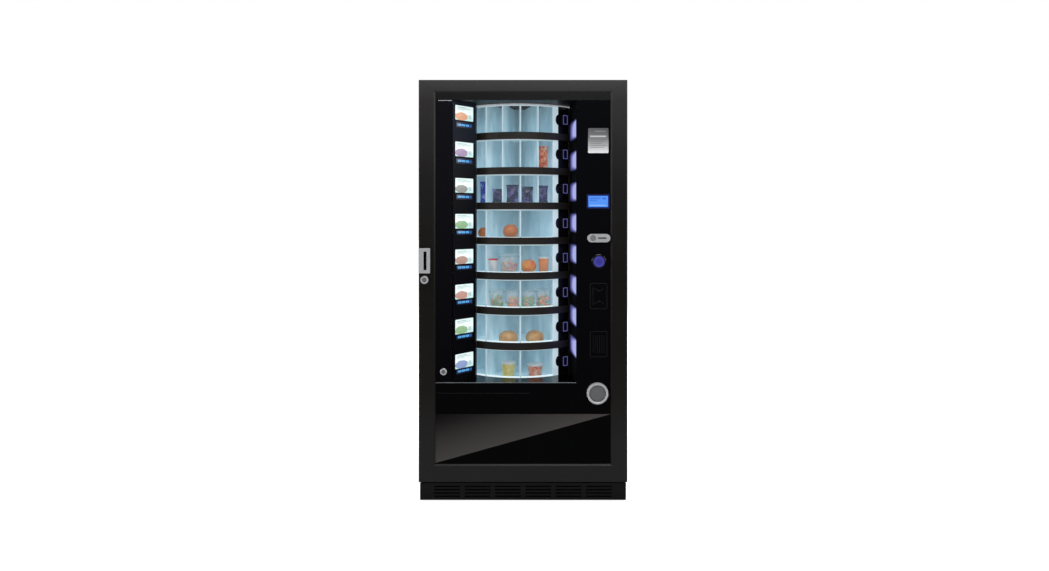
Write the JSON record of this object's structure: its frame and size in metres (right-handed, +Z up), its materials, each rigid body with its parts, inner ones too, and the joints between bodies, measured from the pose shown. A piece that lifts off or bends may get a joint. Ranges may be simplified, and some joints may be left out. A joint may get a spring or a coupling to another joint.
{
  "type": "refrigerated snack vending machine",
  "caption": "Tall refrigerated snack vendor with a turning drum of lit trays behind curved sliding delivery doors and a payment column.",
  "frame": {"origin": "middle of the footprint, on the floor", "axes": "+Z up, the front faces -Y, +X to the right seen from the front"},
  "size_m": [0.905, 0.86, 1.83],
  "materials": {
    "frame_paint": "satin dark grey-brown paint on folded steel",
    "black_gloss": "polished black",
    "brown_gloss": "polished black and dark grey-brown, split by a diagonal",
    "case_paint": "black paint on foam-filled insulated panels",
    "pan_paint": "black paint",
    "inner_white": "white food-safe liner",
    "grid_black": "semi-matt black",
    "clear_pane": "clear polycarbonate with a black end",
    "tray_white": "translucent pale blue-white, white edges",
    "satin_steel": "satin",
    "zinc": "zinc plated",
    "cup_grey": "fine satin grey",
    "button_blue": "dark blue, lit",
    "screen": "lit blue screen",
    "gasket_rubber": "soft matt seal",
    "machine_black": "black enamel",
    "mech_plastic": "moulded black",
    "fin_metal": "bare fins",
    "gear_plastic": "natural nylon"
  },
  "bodies": {
    "cabinet": {"side_panel_left": "case_paint", "side_panel_right": "case_paint", "top_panel": "case_paint", "back_panel": "case_paint", "chamber_floor": "inner_white", "base_pan": "pan_paint", "foot_front_left": "mech_plastic", "foot_front_right": "mech_plastic", "foot_rear_left": "mech_plastic", "foot_rear_right": "mech_plastic", "kick_grille": "machine_black", "compressor": "machine_black", "condenser": "fin_metal", "evaporator": "fin_metal", "drive_motor": "machine_black", "lower_bearing": "zinc", "hinge_bracket_lower": "zinc", "hinge_bracket_upper": "zinc"},
    "drum": {"drum_shaft": "satin_steel", "drum_gear": "gear_plastic", "tray_1": "tray_white", "tray_2": "tray_white", "tray_3": "tray_white", "tray_4": "tray_white", "tray_5": "tray_white", "tray_6": "tray_white", "tray_7": "tray_white", "tray_8": "tray_white"},
    "pinion": {"drive_pinion": "zinc"},
    "fan": {"condenser_fan": "mech_plastic"},
    "main_door": {"frame_stile_left": "frame_paint", "frame_stile_right": "frame_paint", "frame_rail_top": "frame_paint", "frame_rail_bottom": "frame_paint", "payment_panel": "black_gloss", "sill_panel": "black_gloss", "lower_panel": "brown_gloss", "label_strip": "black_gloss", "door_grid": "grid_black", "door_liner": "inner_white", "door_gasket": "gasket_rubber", "lcd_display": "screen", "coin_slot_bezel": "satin_steel", "coin_cup": "satin_steel", "coin_mechanism": "mech_plastic", "pull_handle": "satin_steel"},
    "rotate_button": {"rotate_button": "button_blue"},
    "coin_return_button": {"coin_return_button": "cup_grey"},
    "coin_flap": {"coin_flap": "cup_grey"},
    "door_lock": {"door_lock": "satin_steel"},
    "service_flap": {"service_flap": "black_gloss"},
    "flap_lock": {"flap_lock": "satin_steel"},
    "delivery_door_1": {"delivery_door_1": "clear_pane"},
    "delivery_door_2": {"delivery_door_2": "clear_pane"},
    "delivery_door_3": {"delivery_door_3": "clear_pane"},
    "delivery_door_4": {"delivery_door_4": "clear_pane"},
    "delivery_door_5": {"delivery_door_5": "clear_pane"},
    "delivery_door_6": {"delivery_door_6": "clear_pane"},
    "delivery_door_7": {"delivery_door_7": "clear_pane"},
    "delivery_door_8": {"delivery_door_8": "clear_pane"}
  },
  "joints": [
    {"name": "door_hinge", "type": "hinge", "parent": "cabinet", "child": "main_door", "pos_m": [0.4345, -0.367, 0.0855], "axis": [0, 0, 1], "range_deg": [0, 105]},
    {"name": "drum_spin", "type": "hinge", "parent": "cabinet", "child": "drum", "pos_m": [-0.0225, 0.007, 0.49], "axis": [0, 0, 1], "continuous": true},
    {"name": "pinion_spin", "type": "hinge", "parent": "cabinet", "child": "pinion", "pos_m": [-0.0225, 0.1276, 0.405], "axis": [0, 0, 1], "continuous": true},
    {"name": "condenser_fan_spin", "type": "hinge", "parent": "cabinet", "child": "fan", "pos_m": [0.23, -0.13, 0.184], "axis": [0, 1, 0], "continuous": true},
    {"name": "delivery_door_1_slide", "type": "hinge", "parent": "main_door", "child": "delivery_door_1", "pos_m": [-0.0225, 0.007, 1.6788], "axis": [0, 0, -1], "range_deg": [0, 30]},
    {"name": "delivery_door_2_slide", "type": "hinge", "parent": "main_door", "child": "delivery_door_2", "pos_m": [-0.0225, 0.007, 1.5214], "axis": [0, 0, -1], "range_deg": [0, 30]},
    {"name": "delivery_door_3_slide", "type": "hinge", "parent": "main_door", "child": "delivery_door_3", "pos_m": [-0.0225, 0.007, 1.364], "axis": [0, 0, -1], "range_deg": [0, 30]},
    {"name": "delivery_door_4_slide", "type": "hinge", "parent": "main_door", "child": "delivery_door_4", "pos_m": [-0.0225, 0.007, 1.2066], "axis": [0, 0, -1], "range_deg": [0, 30]},
    {"name": "delivery_door_5_slide", "type": "hinge", "parent": "main_door", "child": "delivery_door_5", "pos_m": [-0.0225, 0.007, 1.0492], "axis": [0, 0, -1], "range_deg": [0, 30]},
    {"name": "delivery_door_6_slide", "type": "hinge", "parent": "main_door", "child": "delivery_door_6", "pos_m": [-0.0225, 0.007, 0.8918], "axis": [0, 0, -1], "range_deg": [0, 30]},
    {"name": "delivery_door_7_slide", "type": "hinge", "parent": "main_door", "child": "delivery_door_7", "pos_m": [-0.0225, 0.007, 0.7344], "axis": [0, 0, -1], "range_deg": [0, 30]},
    {"name": "delivery_door_8_slide", "type": "hinge", "parent": "main_door", "child": "delivery_door_8", "pos_m": [-0.0225, 0.007, 0.577], "axis": [0, 0, -1], "range_deg": [0, 30]},
    {"name": "rotate_button_press", "type": "slide", "parent": "main_door", "child": "rotate_button", "axis": [0, 1, 0], "range_m": [0, 0.004], "stiffness_N_per_m": 400},
    {"name": "coin_return_press", "type": "slide", "parent": "main_door", "child": "coin_return_button", "axis": [0, 1, 0], "range_m": [0, 0.003], "stiffness_N_per_m": 300},
    {"name": "coin_flap_hinge", "type": "hinge", "parent": "main_door", "child": "coin_flap", "pos_m": [0.3225, -0.423, 0.501], "axis": [1, 0, 0], "range_deg": [0, 55]},
    {"name": "door_lock_turn", "type": "hinge", "parent": "main_door", "child": "door_lock", "pos_m": [-0.4267, -0.41, 0.963], "axis": [0, 1, 0], "range_deg": [0, 90]},
    {"name": "service_flap_hinge", "type": "hinge", "parent": "main_door", "child": "service_flap", "pos_m": [-0.3785, -0.4145, 0.5173], "axis": [0, 0, -1], "range_deg": [0, 85]},
    {"name": "flap_lock_turn", "type": "hinge", "parent": "service_flap", "child": "flap_lock", "pos_m": [-0.3451, -0.41, 0.5643], "axis": [0, 1, 0], "range_deg": [0, 90]}
  ],
  "couplings": [
    {"joint": "pinion_spin", "follows": "drum_spin", "ratio": -4}
  ]
}
